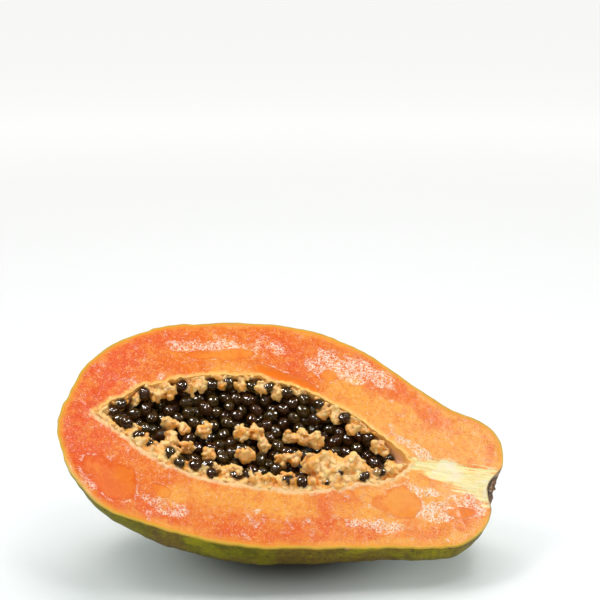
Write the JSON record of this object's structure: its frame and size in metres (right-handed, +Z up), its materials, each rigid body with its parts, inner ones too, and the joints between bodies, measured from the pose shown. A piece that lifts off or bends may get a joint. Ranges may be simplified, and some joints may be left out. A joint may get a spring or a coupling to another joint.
{
  "type": "halved papaya",
  "caption": "Half of a ripe papaya cut lengthwise, with orange flesh, green skin and its seed cavity full of dark seeds and pale pulp, lying on its skin.",
  "frame": {"origin": "on the table's top, under the middle of the fruit's bounding box", "axes": "+X from the blossom end to the stem end, +Y towards the raised edge of the cut, +Z up"},
  "size_m": [0.2082, 0.1174, 0.102],
  "materials": {
    "flesh": "moist orange fruit flesh, smooth where the knife passed and finely beaded elsewhere",
    "skin": "waxy green fruit skin with yellow patches, russet and dark specks",
    "pulp": "pale yellow, crumbly, moist placenta pulp",
    "seeds": "dark brown to black seeds in a clear, glossy gel coat",
    "scar": "dry, ragged brown stalk scar"
  },
  "bodies": {
    "root": {"flesh_and_skin": "flesh", "pulp": "pulp", "seeds": "seeds", "stalk_scar": "scar"}
  },
  "joints": []
}
